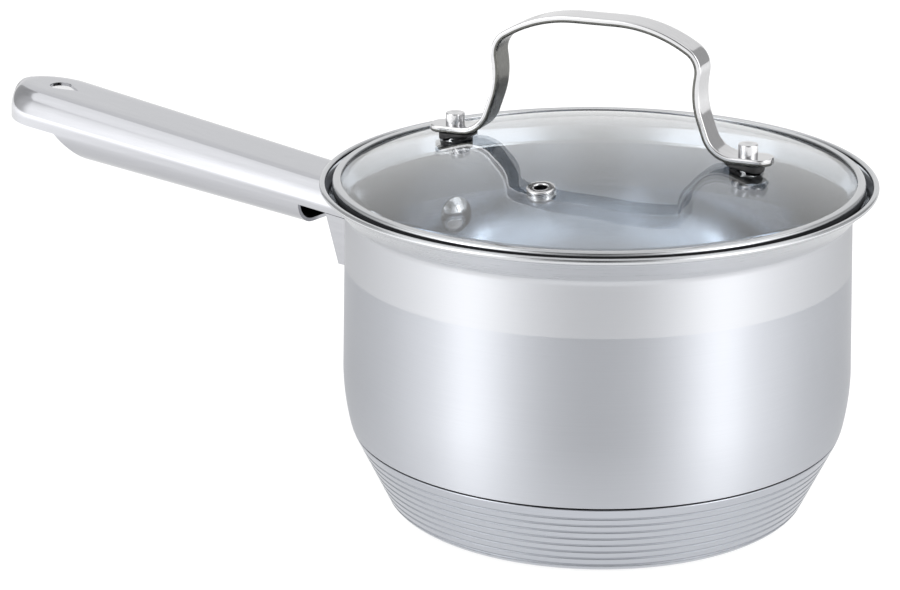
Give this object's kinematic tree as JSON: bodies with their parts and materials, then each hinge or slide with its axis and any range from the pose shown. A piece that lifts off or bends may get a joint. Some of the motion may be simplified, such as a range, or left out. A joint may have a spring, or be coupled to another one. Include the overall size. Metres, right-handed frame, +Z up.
{
  "type": "saucepan",
  "caption": "Steel saucepan with a flared rim, ringed capsule base, riveted hollow handle, and a domed glass lid with a steel band, strap handle and steam vent.",
  "frame": {"origin": "centre of the base's underside, on the table", "axes": "+Z up along the pan's axis, handle along -X"},
  "size_m": [0.3503, 0.177, 0.1591],
  "materials": {
    "pan_steel": "satin wall, polished rim band and polished inside",
    "base_steel": "satin, ringed",
    "aluminium_core": "mill",
    "handle_steel": "polished",
    "rivet_steel": "polished",
    "lid_glass": "clear",
    "band_steel": "polished",
    "strap_steel": "polished",
    "fastener_steel": "polished",
    "black_rubber": "matt",
    "clear_rubber": "satin"
  },
  "bodies": {
    "pan": {"pan_wall": "pan_steel", "pan_floor": "pan_steel", "heat_spreader": "aluminium_core", "base_cap": "base_steel", "handle_shell": "handle_steel", "handle_bracket": "handle_steel", "handle_rivet_front": "rivet_steel", "handle_rivet_rear": "rivet_steel"},
    "lid": {"lid_glass": "lid_glass", "lid_rim_band": "band_steel", "lid_handle": "strap_steel", "vent_eyelet": "fastener_steel", "vent_washer": "fastener_steel", "vent_gasket": "clear_rubber", "lid_pad_left": "black_rubber", "lid_seal_left": "black_rubber", "lid_washer_left": "fastener_steel", "lid_screw_left": "fastener_steel", "lid_nut_left": "fastener_steel", "lid_pad_right": "black_rubber", "lid_seal_right": "black_rubber", "lid_washer_right": "fastener_steel", "lid_screw_right": "fastener_steel", "lid_nut_right": "fastener_steel"}
  },
  "joints": [
    {"name": "lid_lift", "type": "slide", "parent": "pan", "child": "lid", "axis": [0, 0, 1], "range_m": [0, 0.15]}
  ]
}
